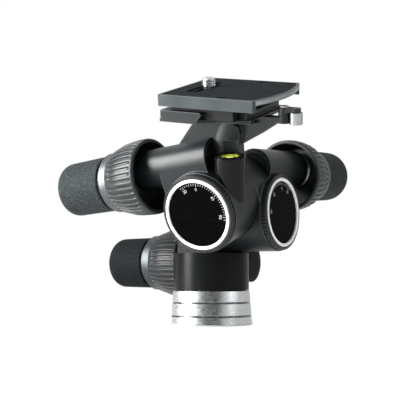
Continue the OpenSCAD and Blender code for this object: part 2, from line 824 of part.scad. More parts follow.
module plate_pad() {
    color("#23282a") rolled() translate([0, -plate_y, plate_top - 1.2]) linear_extrude(1.2) difference() {
        plate_outline(1.45);
        slot_outline(screw_r + 0.5);
        translate([9.5, -plate_d / 2 + 3.5]) square([8, 3.2]);
        translate([9.5, plate_d / 2 - 6.7]) square([8, 3.2]);
    }
}

// Washer that slides under the slot and carries the camera screw
module screw_slider() {
    color("#8d9296") rolled() translate([slot_x, -plate_y + 3, 0]) difference() {
        translate([0, 0, plate_base + 1.6]) cylinder(r = 7.2, h = 1.7);
        translate([0, 0, plate_base]) cylinder(r = screw_r + 0.1, h = 8);
    }
}

// Screw with a thinner neck, so that only its end above the pad has the thread's radius
module camera_screw() {
    z = plate_base + 1.5;
    neck = plate_top + screw_neck;
    color("#d0d4d6") rolled() translate([slot_x, -plate_y + 3, 0]) difference() {
        union() {
            translate([0, 0, z - 2.6]) cylinder(r = 6.6, h = 2.6);
            translate([0, 0, z - 0.1]) cylinder(r = screw_r - 0.7, h = neck - z + 0.2);
            translate([0, 0, neck]) cylinder(r = screw_r, h = screw_up - screw_neck);
        }
        translate([-8, -0.8, z - 3.6]) cube([16, 1.6, 2.2]);
    }
}

// ---------- build ----------

base_ring();
tripod_bush();
pan_shaft();
pan_wheel();
pan_screw();
pan_housing();
pan_bearing();
pan_bush();
pan_drive() translate([-6, 0, 0]) tube_cap();  // pan_tube_cap
tilt_shaft();
tilt_wheel();
tilt_nut();
tilt_dial();
pan_drive() sleeve(pan_in);  // pan_sleeve
pan_drive() collar(pan_in);  // pan_collar
pan_drive() bright_ring(pan_in);  // pan_ring
pan_drive() spring(pan_in);  // pan_spring
pan_drive() worm(pan_in);  // pan_worm
pan_drive() knob_hub(pan_in, pan_grip_len);  // pan_hub
pan_drive() grip(pan_in, pan_grip_len);  // pan_grip
tilt_casting();
tilt_bush();
tilt_face_frame() bezel(ring_in_r + 0.1, 1);  // tilt_bezel
tilt_face_frame() scale_ring(1);  // tilt_scale_ring
tilt_drive() tube_cap();  // tilt_tube_cap
roll_shaft();
roll_wheel();
roll_nut();
tilt_drive() sleeve(0);  // tilt_sleeve
tilt_drive() collar(0);  // tilt_collar
tilt_drive() bright_ring(0);  // tilt_ring
tilt_drive() spring(0);  // tilt_spring
tilt_drive() worm(0);  // tilt_worm
tilt_drive() knob_hub(0, grip_len);  // tilt_hub
tilt_drive() grip(0, grip_len);  // tilt_grip
roll_casting();
roll_bush();
roll_face_frame() bezel(chamber_r + 0.75, dial_t);  // roll_bezel
roll_face_frame() scale_ring(dial_t);  // roll_scale_ring
roll_dial();
roll_drive() tube_cap();  // roll_tube_cap
level_boss();
level_vial();
level_rim();
clamp_body();
clamp_screws();
roll_drive() sleeve(0);  // roll_sleeve
roll_drive() collar(0);  // roll_collar
roll_drive() bright_ring(0);  // roll_ring
roll_drive() spring(0);  // roll_spring
roll_drive() worm(0);  // roll_worm
roll_drive() knob_hub(0, grip_len);  // roll_hub
roll_drive() grip(0, grip_len);  // roll_grip
clamp_lever();
lever_pivot();
lever_tip();
camera_plate();
plate_pad();
screw_slider();
camera_screw();
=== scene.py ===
import json
import math
import numpy as np
import bpy
from mathutils import Matrix, Vector


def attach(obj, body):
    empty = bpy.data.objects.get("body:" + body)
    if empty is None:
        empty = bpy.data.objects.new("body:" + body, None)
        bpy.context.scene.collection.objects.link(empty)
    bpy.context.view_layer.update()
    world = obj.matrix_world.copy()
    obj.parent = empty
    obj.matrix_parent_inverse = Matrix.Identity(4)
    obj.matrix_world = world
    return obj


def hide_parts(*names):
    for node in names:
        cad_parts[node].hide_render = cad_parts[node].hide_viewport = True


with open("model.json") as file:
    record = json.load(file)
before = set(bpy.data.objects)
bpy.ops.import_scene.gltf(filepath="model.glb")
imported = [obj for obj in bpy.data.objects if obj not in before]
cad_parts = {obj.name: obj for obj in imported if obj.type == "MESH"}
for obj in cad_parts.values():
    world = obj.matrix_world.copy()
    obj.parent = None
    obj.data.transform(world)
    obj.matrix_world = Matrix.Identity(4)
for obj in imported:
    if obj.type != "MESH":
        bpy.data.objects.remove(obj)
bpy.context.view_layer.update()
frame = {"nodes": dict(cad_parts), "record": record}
nodes = frame["nodes"]
scene = bpy.context.scene
scene.view_settings.view_transform = "Standard"
print("frame loaded:", len(nodes), "nodes")

# Rest pose and main places of the head, in metres and degrees.
head = {
    "tiltHeight": 0.0795,
    "tilt": 20.0,
    "roll": 10.0,
    "rollRight": 0.0274,
    "rollUp": 0.0173,
    "droop": 15.0,
    "tubeOut": 0.03152,
    "swing": 0.0045,
    "tiltWheelRight": 0.0424,
    "rollWheelFront": -0.0375,
    "panTubeUp": 0.0455,
    "tiltFaceRight": 0.0583,
    "rollFaceFront": -0.0601,
    "levelRight": 0.0168,
    "levelFront": -0.045,
}


def turn(axis, degrees):
    return Matrix.Rotation(math.radians(degrees), 4, axis)


def move(x, y, z):
    return Matrix.Translation((x, y, z))


tiltFrame = move(0, 0, head["tiltHeight"]) @ turn("X", head["tilt"])
rollFrame = tiltFrame @ move(head["rollRight"], 0, head["rollUp"]) @ turn("Y", head["roll"])
toTube = move(0, 0, head["tubeOut"])
tiltWheelPlace = tiltFrame @ move(head["tiltWheelRight"], 0, 0)
rollWheelPlace = rollFrame @ move(0, head["rollWheelFront"], 0)
tiltDrive = tiltWheelPlace @ turn("X", -head["droop"]) @ toTube @ turn("Z", 90)
rollDrive = rollWheelPlace @ turn("Y", -head["droop"]) @ toTube @ turn("Z", 180)
panDrive = move(0, head["tubeOut"], head["panTubeUp"]) @ turn("Z", 180) @ turn("X", 90)

# edges that fold more than this are shaded as sharp
sharpAngle = 38


def meshObject(name, points, faces, place, material, body, smooth=True):
    # points: an (n, 3) array in local metres; place carries them into the row frame
    m = np.array(place)
    spots = np.asarray(points, float) @ m[:3, :3].T + m[:3, 3]
    mesh = bpy.data.meshes.new(name)
    mesh.from_pydata(spots.tolist(), [], [list(f) for f in faces])
    mesh.validate()
    mesh.polygons.foreach_set("use_smooth", np.full(len(mesh.polygons), smooth))
    mesh.update()
    mesh.set_sharp_from_angle(angle=math.radians(sharpAngle))
    piece = bpy.data.objects.new(name, mesh)
    scene.collection.objects.link(piece)
    piece.data.materials.append(material)
    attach(piece, body)
    return piece


def gridFaces(rows, columns, closed):
    # quads between neighbouring rows of a grid; closed joins the last column to the first:
    # corners i c + j, i c + k, (i + 1) c + k, (i + 1) c + j with k = j + 1
    i = np.arange(rows - 1)[:, None]
    j = np.arange(columns if closed else columns - 1)[None, :]
    k = (j + 1) % columns
    low, high = i * columns, (i + 1) * columns
    return np.stack([low + j, low + k, high + k, high + j], -1).reshape(-1, 4)


def turned(profile, count):
    # a profile of (radius, height) pairs turned round Z: x = r cos a, y = r sin a, z = h
    p = np.asarray(profile, float)
    a = np.linspace(0, 2 * np.pi, count, endpoint=False)
    r, h = p[:, 0][:, None], p[:, 1][:, None]
    points = np.stack([r * np.cos(a), r * np.sin(a), np.broadcast_to(h, (len(p), count))], -1)
    return points.reshape(-1, 3), gridFaces(len(p), count, True)


def feed(tree, socket, value):
    # a link if the value is a socket, otherwise a constant
    if hasattr(value, "is_output"):
        tree.links.new(value, socket)
    else:
        socket.default_value = value


def startMaterial(name):
    material = bpy.data.materials.new(name)
    material.use_nodes = True
    tree = material.node_tree
    shader = tree.nodes["Principled BSDF"]
    return material, tree, shader


def addNode(tree, kind, **values):
    node = tree.nodes.new(kind)
    for key, value in values.items():
        if key in node.inputs:
            node.inputs[key].default_value = value
        else:
            setattr(node, key, value)
    return node


def objectCoords(tree, scale=(1, 1, 1)):
    coords = addNode(tree, "ShaderNodeTexCoord")
    mapping = addNode(tree, "ShaderNodeMapping")
    mapping.inputs["Scale"].default_value = scale
    tree.links.new(coords.outputs["Object"], mapping.inputs["Vector"])
    return mapping.outputs["Vector"]


def noise(tree, vector, scale, detail=2.0, roughness=0.5):
    node = addNode(tree, "ShaderNodeTexNoise", Scale=scale, Detail=detail, Roughness=roughness)
    tree.links.new(vector, node.inputs["Vector"])
    return node.outputs["Fac"]


def ramp(tree, value, low, high, lowColour, highColour):
    node = addNode(tree, "ShaderNodeValToRGB")
    node.color_ramp.elements[0].position = low
    node.color_ramp.elements[1].position = high
    node.color_ramp.elements[0].color = (*lowColour, 1)
    node.color_ramp.elements[1].color = (*highColour, 1)
    tree.links.new(value, node.inputs["Fac"])
    return node.outputs["Color"]


def span(tree, value, low, high, toLow, toHigh):
    node = addNode(tree, "ShaderNodeMapRange")
    node.inputs["From Min"].default_value = low
    node.inputs["From Max"].default_value = high
    node.inputs["To Min"].default_value = toLow
    node.inputs["To Max"].default_value = toHigh
    tree.links.new(value, node.inputs["Value"])
    return node.outputs["Result"]


def mixColour(tree, factor, first, second):
    node = addNode(tree, "ShaderNodeMix", data_type="RGBA")
    tree.links.new(factor, node.inputs["Factor"])
    # of this node's sockets, inputs 6 and 7 and output 2 are the colours
    for socket, value in ((node.inputs[6], first), (node.inputs[7], second)):
        feed(tree, socket, (*value, 1) if isinstance(value, tuple) else value)
    return node.outputs[2]


def joined(tree, operation, first, second):
    # a maths node on two inputs, each a socket or a number
    node = addNode(tree, "ShaderNodeMath", operation=operation)
    feed(tree, node.inputs[0], first)
    feed(tree, node.inputs[1], second)
    return node.outputs[0]


def softNormals(tree, radius):
    # normals as they would be if a bevel of this radius rounded the edges
    bevel = addNode(tree, "ShaderNodeBevel", samples=4)
    bevel.inputs["Radius"].default_value = radius
    return bevel.outputs["Normal"]


def edgeWear(tree, softNormal):
    # 0 on flat ground, rising to 1 on edges, where the soft normal leaves the true one; it marks the edges
    # for rubbed wear and painted highlight
    geometry = addNode(tree, "ShaderNodeNewGeometry")
    dot = addNode(tree, "ShaderNodeVectorMath", operation="DOT_PRODUCT")
    tree.links.new(softNormal, dot.inputs[0])
    tree.links.new(geometry.outputs["Normal"], dot.inputs[1])
    return span(tree, dot.outputs["Value"], 0.98, 0.72, 0.0, 1.0)


def roughen(tree, shader, value, low, high):
    # roughness between low and high, following the middle of a noise
    tree.links.new(span(tree, value, 0.3, 0.7, low, high), shader.inputs["Roughness"])


def bump(tree, shader, height, strength, distance, normal=None):
    node = addNode(tree, "ShaderNodeBump", Strength=strength, Distance=distance)
    tree.links.new(height, node.inputs["Height"])
    if normal is not None:
        tree.links.new(normal, node.inputs["Normal"])
    tree.links.new(node.outputs["Normal"], shader.inputs["Normal"])


def hollows(tree, reach):
    # painted shade: 1 in the open, falling to 0 down in grooves narrower than the reach
    node = addNode(tree, "ShaderNodeAmbientOcclusion", samples=6, only_local=True)
    node.inputs["Distance"].default_value = reach
    return span(tree, node.outputs["AO"], 0.45, 0.95, 0.0, 1.0)


def castPaint(name, look):
    # satin paint on cast alloy: soft mottling, a fine orange-peel grain and paler edges, partly rubbed
    # wear and partly painted highlight;
    # where a groove reach is given, grooves are painted darker than the ground, as painted shade
    material, tree, shader = startMaterial(name)
    vector = objectCoords(tree)
    mottle = noise(tree, vector, 60.0, 3.0)
    grain = noise(tree, vector, look["grainScale"], 2.0, 0.6)
    colour = ramp(tree, mottle, 0.3, 0.7, look["dark"], look["light"])
    softNormal = softNormals(tree, look["edge"])
    # paler edges: partly rubbed wear, partly painted highlight
    wornAndLit = span(tree, edgeWear(tree, softNormal), 0, 1, 0, look["wearAndHighlight"])
    final = mixColour(tree, wornAndLit, colour, look["edgeColour"])
    # painted shade: grooves are painted darker than the ground
    if "groove" in look:
        final = mixColour(tree, hollows(tree, look["groove"]), look["grooveShadeColour"], final)
    tree.links.new(final, shader.inputs["Base Color"])
    roughen(tree, shader, grain, look["rough"] - 0.05, look["rough"] + 0.07)
    shader.inputs["Specular IOR Level"].default_value = look["specular"]
    bump(tree, shader, grain, look["grain"], 0.0002, softNormal)
    return material


def rubber(name, look):
    # speckled moulded rubber: cells about half a millimetre wide, dull, lighter where the grain stands
    # higher
    material, tree, shader = startMaterial(name)
    vector = objectCoords(tree)
    cells = addNode(tree, "ShaderNodeTexVoronoi", Scale=look["cellScale"])
    tree.links.new(vector, cells.inputs["Vector"])
    fine = noise(tree, vector, look["cellScale"] * 1.7, 2.0)
    mixed = joined(tree, "MULTIPLY", cells.outputs["Distance"], fine)
    colour = ramp(tree, mixed, 0.05, 0.45, look["dark"], look["light"])
    tree.links.new(colour, shader.inputs["Base Color"])
    roughen(tree, shader, fine, look["rough"] - 0.08, look["rough"] + 0.08)
    shader.inputs["Specular IOR Level"].default_value = look.get("specular", 0.25)
    bump(tree, shader, mixed, look["grain"], 0.0004)
    return material


def metal(name, look):
    # machined metal: fine lines along the cut, a little grime between them and rounded edges;
    # where a groove reach is given, grooves are painted darker than the ground, as painted shade
    material, tree, shader = startMaterial(name)
    vector = objectCoords(tree, look["stretch"])
    lines = noise(tree, vector, look["lineScale"], 3.0, 0.65)
    broad = noise(tree, objectCoords(tree), 90.0, 3.0)
    colour = ramp(tree, lines, 0.25, 0.75, look["dark"], look["light"])
    grime = span(tree, broad, 0.35, 0.7, 0.0, look.get("grime", 0.3))
    shade = mixColour(tree, grime, colour, look["dark"])
    # painted shade: grooves are painted darker than the ground
    if "groove" in look:
        shade = mixColour(tree, hollows(tree, look["groove"]), look["grooveShadeColour"], shade)
    tree.links.new(shade, shader.inputs["Base Color"])
    shader.inputs["Metallic"].default_value = 1.0
    roughen(tree, shader, lines, look["rough"] - 0.06, look["rough"] + 0.08)
    shader.inputs["Anisotropic"].default_value = look["streak"]
    bump(tree, shader, lines, look["grain"], 0.00012, softNormals(tree, 0.0003))
    return material


def gloss(name, look):
    # polished moulded face: faint dust and hairline wipes in the roughness
    material, tree, shader = startMaterial(name)
    vector = objectCoords(tree)
    dust = noise(tree, vector, 700.0, 3.0)
    wipes = noise(tree, objectCoords(tree, (40, 900, 900)), 1.0, 2.0)
    colour = ramp(tree, dust, 0.45, 0.8, look["dark"], look["light"])
    tree.links.new(colour, shader.inputs["Base Color"])
    roughen(tree, shader, wipes, look["rough"], look["rough"] + 0.1)
    shader.inputs["Specular IOR Level"].default_value = look["specular"]
    bump(tree, shader, dust, 0.05, 0.00005, softNormals(tree, 0.00025))
    return material


paints = {
    "dark_paint": castPaint("satinCasting", {
        "dark": (0.0038, 0.0058, 0.0064), "light": (0.0068, 0.0098, 0.0108),
        "edgeColour": (0.2, 0.23, 0.24),
        "edge": 0.0009, "wearAndHighlight": 0.9, "rough": 0.33, "specular": 0.3, "grain": 0.6, "grainScale": 1900.0}),
    "housing_paint": castPaint("blackHousing", {
        "dark": (0.004, 0.0045, 0.005), "light": (0.007, 0.0078, 0.0082),
        "edgeColour": (0.07, 0.08, 0.085),
        "edge": 0.0004, "wearAndHighlight": 0.4, "rough": 0.28, "specular": 0.08, "grain": 0.2, "grainScale": 1900.0}),
    "collar_plastic": castPaint("ribbedCollar", {
        "dark": (0.01, 0.0125, 0.0135), "light": (0.018, 0.022, 0.0235),
        "edgeColour": (0.24, 0.265, 0.275),
        "edge": 0.0005, "wearAndHighlight": 1.0, "rough": 0.36, "specular": 0.32, "grain": 0.15, "grainScale": 2600.0,
        "groove": 0.002, "grooveShadeColour": (0.0006, 0.0007, 0.0008)}),
    "hub_metal": castPaint("darkAnodised", {
        "dark": (0.03, 0.033, 0.034), "light": (0.05, 0.055, 0.057), "edgeColour": (0.25, 0.26, 0.27),
        "edge": 0.0003, "wearAndHighlight": 0.6, "rough": 0.35, "specular": 0.5, "grain": 0.1, "grainScale": 2600.0}),
    "bezel_metal": castPaint("knurledBezel", {
        "dark": (0.012, 0.013, 0.014), "light": (0.02, 0.022, 0.023), "edgeColour": (0.1, 0.11, 0.115),
        "edge": 0.0003, "wearAndHighlight": 0.8, "rough": 0.34, "specular": 0.25, "grain": 0.15, "grainScale": 2600.0,
        "groove": 0.001, "grooveShadeColour": (0.001, 0.001, 0.001)}),
    "lever_black": castPaint("leverEnamel", {
        "dark": (0.009, 0.01, 0.01), "light": (0.015, 0.017, 0.017), "edgeColour": (0.2, 0.21, 0.21),
        "edge": 0.0004, "wearAndHighlight": 0.7, "rough": 0.28, "specular": 0.35, "grain": 0.1, "grainScale": 2200.0}),
    "cap_black": castPaint("blackPlug", {
        "dark": (0.004, 0.004, 0.005), "light": (0.008, 0.009, 0.009), "edgeColour": (0.02, 0.02, 0.02),
        "edge": 0.0003, "wearAndHighlight": 0.2, "rough": 0.45, "specular": 0.05, "grain": 0.2, "grainScale": 2200.0}),
    "grip_rubber": rubber("grainedRubber", {
        "dark": (0.003, 0.004, 0.0043), "light": (0.036, 0.044, 0.047), "rough": 0.7, "grain": 1.0,
        "specular": 0.12, "cellScale": 850.0}),
    "pad_rubber": rubber("padRubber", {
        "dark": (0.0015, 0.002, 0.0023), "light": (0.022, 0.027, 0.029), "rough": 0.75, "grain": 1.0,
        "specular": 0.03, "cellScale": 950.0}),
    "bright_steel": metal("turnedAlloy", {
        "dark": (0.52, 0.54, 0.545), "light": (0.69, 0.71, 0.715), "rough": 0.25, "grain": 0.05,
        "streak": 0.6, "stretch": (260, 260, 3600), "lineScale": 1.0, "grime": 0.12, "groove": 0.0022,
        "grooveShadeColour": (0.04, 0.042, 0.044)}),
    "ring_metal": metal("satinRing", {
        "dark": (0.045, 0.05, 0.053), "light": (0.19, 0.2, 0.205), "rough": 0.46, "grain": 0.5,
        "streak": 0.2, "stretch": (900, 900, 900), "lineScale": 1.3}),
    "shaft_steel": metal("groundSteel", {
        "dark": (0.4, 0.41, 0.42), "light": (0.68, 0.7, 0.71), "rough": 0.24, "grain": 0.2, "streak": 0.4,
        "stretch": (500, 500, 500), "lineScale": 2.0}),
    "screw_steel": metal("platedSteel", {
        "dark": (0.38, 0.39, 0.4), "light": (0.6, 0.61, 0.62), "rough": 0.3, "grain": 0.2, "streak": 0.1,
        "stretch": (700, 700, 700), "lineScale": 2.0}),
    "spring_steel": metal("drawnWire", {
        "dark": (0.3, 0.31, 0.32), "light": (0.5, 0.51, 0.52), "rough": 0.3, "grain": 0.2, "streak": 0.1,
        "stretch": (700, 700, 700), "lineScale": 2.0}),
    "chrome_tip": metal("polishedChrome", {
        "dark": (0.3, 0.31, 0.32), "light": (0.45, 0.46, 0.47), "rough": 0.22, "grain": 0.08,
        "streak": 0.0, "stretch": (400, 400, 400), "lineScale": 2.0}),
    "bronze": metal("bearingBronze", {
        "dark": (0.36, 0.24, 0.1), "light": (0.6, 0.43, 0.2), "rough": 0.32, "grain": 0.2, "streak": 0.2,
        "stretch": (500, 500, 500), "lineScale": 2.0}),
    "gear_brass": metal("cutBrass", {
        "dark": (0.42, 0.3, 0.12), "light": (0.7, 0.54, 0.26), "rough": 0.28, "grain": 0.2, "streak": 0.2,
        "stretch": (500, 500, 500), "lineScale": 2.0}),
    "dial_black": gloss("dialFace", {
        "dark": (0.001, 0.001, 0.0012), "light": (0.003, 0.003, 0.0035), "rough": 0.2, "specular": 0.012}),
    "dial_white": gloss("whiteRing", {
        "dark": (0.78, 0.79, 0.79), "light": (0.86, 0.87, 0.87), "rough": 0.22, "specular": 0.5}),
    "level_black": gloss("levelShell", {
        "dark": (0.001, 0.0012, 0.0014), "light": (0.0018, 0.0021, 0.0024), "rough": 0.07,
        "specular": 0.2}),
    "vial_green": gloss("vialLiquid", {
        "dark": (0.6, 0.72, 0.02), "light": (0.72, 0.82, 0.05), "rough": 0.05, "specular": 0.8}),
}

# finishes of single pieces: the lowest knob has darker copies of the knob finishes, as painted shade, and
# the end of the tilt shaft is darker than the other steel
ownFinish = {
    "pan_ring": metal("lowRingShaded", {
        "dark": (0.03, 0.034, 0.036), "light": (0.11, 0.118, 0.122), "rough": 0.46, "grain": 0.5,
        "streak": 0.2, "stretch": (900, 900, 900), "lineScale": 1.3}),
    # the shaft end is darker than the other steel
    "tilt_shaft": metal("darkerShaft", {
        "dark": (0.05, 0.053, 0.055), "light": (0.12, 0.125, 0.13), "rough": 0.42, "grain": 0.3,
        "streak": 0.2, "stretch": (600, 600, 600), "lineScale": 1.6}),
    "pan_grip": rubber("lowGripShaded", {
        "dark": (0.002, 0.0027, 0.0029), "light": (0.011, 0.014, 0.0148), "rough": 0.7, "grain": 0.7,
        "specular": 0.05, "cellScale": 1000.0}),
    "pan_collar": castPaint("lowCollarShaded", {
        "dark": (0.005, 0.006, 0.0065), "light": (0.009, 0.011, 0.012), "edgeColour": (0.12, 0.135, 0.14),
        "edge": 0.0005, "wearAndHighlight": 0.9, "rough": 0.4, "specular": 0.3, "grain": 0.2, "grainScale": 2600.0,
        "groove": 0.002, "grooveShadeColour": (0.001, 0.0012, 0.0013)}),
}


def platePaint(name, look):
    # grey enamel on the plate, and painted shade on its foot, which sits in the dark gap under the plate:
    # the two meet at a height measured along the plate's own upright, over twice the blur
    material = castPaint(name, look)
    tree = material.node_tree
    shader = tree.nodes["Principled BSDF"]
    upright = rollFrame.to_3x3() @ Vector((0, 0, 1))
    level = upright.dot(rollFrame.translation) + look["skirt"]
    coords = addNode(tree, "ShaderNodeTexCoord")
    height = addNode(tree, "ShaderNodeVectorMath", operation="DOT_PRODUCT")
    tree.links.new(coords.outputs["Object"], height.inputs[0])
    height.inputs[1].default_value = upright
    above = span(tree, height.outputs["Value"], level - look["blur"], level + look["blur"], 0.0, 1.0)
    skin = shader.inputs["Base Color"].links[0].from_socket
    tree.links.new(mixColour(tree, above, look["foot"], skin), shader.inputs["Base Color"])
    return material


# the foot colour is painted shade under the plate
paints["plate_grey"] = platePaint("greyPlate", {
    "dark": (0.026, 0.033, 0.035), "light": (0.05, 0.06, 0.063), "edgeColour": (0.3, 0.33, 0.34),
    "edge": 0.0004, "wearAndHighlight": 0.7, "rough": 0.4, "specular": 0.2, "grain": 0.4, "grainScale": 2200.0,
    "skirt": 0.0688, "blur": 0.0001, "foot": (0.006, 0.0075, 0.008)})

for item in frame["record"]["subparts"]:
    finish = ownFinish.get(item["node"], paints.get(item["material_slot"]))
    if finish and item["node"] in nodes:
        nodes[item["node"]].data.materials.clear()
        nodes[item["node"]].data.materials.append(finish)
print("finishes on the metal and rubber:", len(paints) + len(ownFinish))

# angles in degrees: zero is where the mark 0 stands, sense the way the numbers run
dials = {
    "tilt": {"numberAt": 0.0166, "size": 0.0031, "tickOut": 0.0208, "shortTick": 0.0015,
             "longTick": 0.0022, "tickWidth": 0.0003, "lift": 0.00004, "zero": -2.4, "sense": -1.0,
             "labels": (-30, 0, 45, 90), "from": -35, "to": 95, "step": 5.0},
    "roll": {"numberAt": 0.0170, "size": 0.0031, "tickOut": 0.0211, "shortTick": 0.0015,
             "longTick": 0.0022, "tickWidth": 0.0003, "lift": 0.00004, "zero": -2.3, "sense": 1.0,
             "labels": (-30, 0, 45, 90), "from": -35, "to": 98, "step": 5.0},
}

whiteInk = gloss("whiteInk", {
    "dark": (0.36, 0.37, 0.37), "light": (0.46, 0.47, 0.47), "rough": 0.4, "specular": 0.3})


def tickMarks(look, angles, lengths):
    # flat strips on the face: each runs inward from the outer radius along its angle, counted from
    # upright, clockwise: x = r sin a + w cos a, y = r cos a - w sin a, at a small height above the face
    a = np.radians(np.asarray(angles, float))[:, None]
    outer = np.full(len(angles), look["tickOut"])
    r = np.stack([outer, outer, outer - lengths, outer - lengths], 1)
    w = np.array([-0.5, 0.5, 0.5, -0.5])[None, :] * look["tickWidth"]
    x, y = r * np.sin(a) + w * np.cos(a), r * np.cos(a) - w * np.sin(a)
    points = np.stack([x, y, np.full(r.shape, look["lift"])], -1)
    faces = np.arange(len(angles) * 4).reshape(-1, 4)[:, ::-1]
    return points.reshape(-1, 3), faces


def dialMarks(name, look, face, body):
    steps = np.arange(look["from"], look["to"] + 0.1, look["step"])
    angles = look["zero"] + look["sense"] * steps
    lengths = np.where(np.isin(np.round(steps), look["labels"]), look["longTick"], look["shortTick"])
    points, faces = tickMarks(look, angles, lengths)
    meshObject(name + "Ticks", points, faces, face, whiteInk, body, smooth=False)
    for label in look["labels"]:
        curve = bpy.data.curves.new(name + "Number", "FONT")
        curve.body = str(abs(label))
        curve.size = look["size"]
        curve.align_x = "CENTER"
        curve.align_y = "CENTER"
        flat = bpy.data.objects.new("flatNumber", curve)
        scene.collection.objects.link(flat)
        bpy.context.view_layer.update()
        mesh = bpy.data.meshes.new_from_object(flat)
        bpy.data.objects.remove(flat)
        angle = look["zero"] + look["sense"] * label
        place = face @ turn("Z", -angle) @ move(0, look["numberAt"], look["lift"])
        mesh.transform(place)
        mesh.materials.clear()
        mesh.materials.append(whiteInk)
        number = bpy.data.objects.new(name + "Number" + str(abs(label)), mesh)
        scene.collection.objects.link(number)
        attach(number, body)


# face frames: local Z out of the dial, local Y upright on it
tiltFace = move(head["tiltFaceRight"], 0, head["tiltHeight"]) @ turn("Y", 90) @ turn("Z", 90)
rollFace = rollFrame @ move(0, head["rollFaceFront"], 0) @ turn("X", 90)
dialMarks("tiltDial", dials["tilt"], tiltFace, "pan")
dialMarks("rollDial", dials["roll"], rollFace, "roll")
print("dial marks drawn")

# profile of a collar as (distance along its axis from the open rim, radius), and its ribs
collarLook = {
    "outer": ((0.0, 0.0258), (0.0004, 0.0263), (0.0014, 0.02665), (0.0022, 0.02672), (0.0034, 0.02678),
              (0.006, 0.02678), (0.009, 0.02662), (0.012, 0.02636), (0.0145, 0.0261), (0.017, 0.02576),
              (0.0195, 0.02502), (0.022, 0.02418), (0.0242, 0.0236), (0.0258, 0.02315), (0.0268, 0.0228),
              (0.0277, 0.0222), (0.0284, 0.02168)),
    "inner": ((0.0284, 0.0185), (0.0344, 0.0183), (0.0344, 0.0041), (0.016, 0.0041), (0.016, 0.0205),
              (0.012, 0.0234), (0.0006, 0.02395), (0.0, 0.0243)),
    "ribs": 40, "perRib": 12, "depth": 0.00115, "ribFrom": 0.0026, "ribTo": 0.0266, "run": 0.0012,
    "crest": 0.45, "flank": 0.2,
}


def ribbedCollar(look):
    # ribs are cut along the whole side: r = profile - depth g(a) f(x), where g is 1 in a groove, 0 on
    # a crest and smooth on the flank between them, and f fades the cut over a short run at both ends
    p = np.array(look["outer"] + look["inner"])
    x, base = p[:, 0][:, None], p[:, 1][:, None]
    columns = look["ribs"] * look["perRib"]
    a = np.linspace(0, 2 * np.pi, columns, endpoint=False)[None, :]
    phase = np.abs(((a * look["ribs"] / (2 * np.pi)) % 1.0) - 0.5) * 2
    groove = np.clip((phase - look["crest"]) / look["flank"], 0, 1)
    groove = groove * groove * (3 - 2 * groove)
    start = np.clip((x - look["ribFrom"]) / look["run"], 0, 1)
    fade = start * np.clip((look["ribTo"] - x) / look["run"], 0, 1)
    fade[len(look["outer"]):] = 0
    r = base - look["depth"] * groove * fade
    points = np.stack([np.broadcast_to(x, r.shape), r * np.cos(a), r * np.sin(a)], -1).reshape(-1, 3)
    return points, gridFaces(len(p) + 1, columns, True) % (len(p) * columns)


knobs = {
    "pan": {"frame": panDrive, "rim": 0.0325, "paint": ownFinish["pan_collar"]},
    "tilt": {"frame": tiltDrive, "rim": 0.041, "paint": paints["collar_plastic"]},
    "roll": {"frame": rollDrive, "rim": 0.041, "paint": paints["collar_plastic"]},
}
collarPoints, collarFaces = ribbedCollar(collarLook)
for name, look in knobs.items():
    place = look["frame"] @ move(look["rim"], 0, -head["swing"])
    collar = meshObject(name + "CollarRibs", collarPoints, collarFaces, place, look["paint"],
                        name + "_release")
    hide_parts(name + "_collar")
print("collars ribbed")

cameraScrew = {"at": (-0.0153, -0.0135), "crest": 0.0047, "root": 0.0039, "pitch": 0.0015875,
               "neck": 0.004, "headLow": 0.0677, "headTop": 0.0703, "headRadius": 0.0066, "round": 0.0003,
               "threadFrom": 0.0769, "tip": 0.0824, "tipRun": 0.0007, "rings": 90, "slotDepth": 0.0016,
               "slotHalf": 0.0008}


def threadedPin(look, perTurn):
    # rows of rings from the slotted head up the neck; in the thread the radius runs from root to crest as
    # a rounded saw of the phase z / pitch - a / 2 pi, and it fades to the root at the tip; the head's
    # underside dips by the slot's depth where |y| is less than half the slot's width
    a = np.linspace(0, 2 * np.pi, perTurn, endpoint=False)[None, :]
    rim, low, top = look["headRadius"] - look["round"], look["headLow"], look["headTop"]
    inner = np.array([0.0002, 0.002, 0.004, rim])[:, None]
    under = np.where(np.abs(inner * np.sin(a)) < look["slotHalf"], low + look["slotDepth"], low)
    plain = np.array([(look["headRadius"], low + look["round"]), (look["headRadius"], top - look["round"]),
                      (rim, top), (look["neck"], top), (look["neck"], look["threadFrom"])])
    z = np.linspace(look["threadFrom"] + 0.00005, look["tip"], look["rings"])[:, None]
    phase = (z / look["pitch"] - a / (2 * np.pi)) % 1.0
    wave = np.clip(1.35 - np.abs(phase - 0.5) * 3.2, 0, 1)
    fade = np.clip((look["tip"] - z) / look["tipRun"], 0, 1)
    threadRadius = look["root"] + (look["crest"] - look["root"]) * wave * fade
    r = np.vstack([np.broadcast_to(inner, under.shape), np.repeat(plain[:, :1], perTurn, 1),
                   threadRadius, np.full((1, perTurn), 0.0004)])
    h = np.vstack([under, np.repeat(plain[:, 1:], perTurn, 1), np.broadcast_to(z, threadRadius.shape),
                   np.full((1, perTurn), look["tip"])])
    points = np.stack([r * np.cos(a), r * np.sin(a), h], -1).reshape(-1, 3)
    rows = len(r)
    faces = gridFaces(rows, perTurn, True).tolist()
    faces.append(list(range(perTurn))[::-1])
    faces.append(list(range((rows - 1) * perTurn, rows * perTurn)))
    return points, faces


plateLip = {"arcX": -0.05157, "arcY": -0.0165, "radius": 0.09607, "halfDepth": 0.0335, "teeth": 74,
            "low": 0.0731, "high": 0.0761, "proud": 0.00022, "sunk": 0.0003}


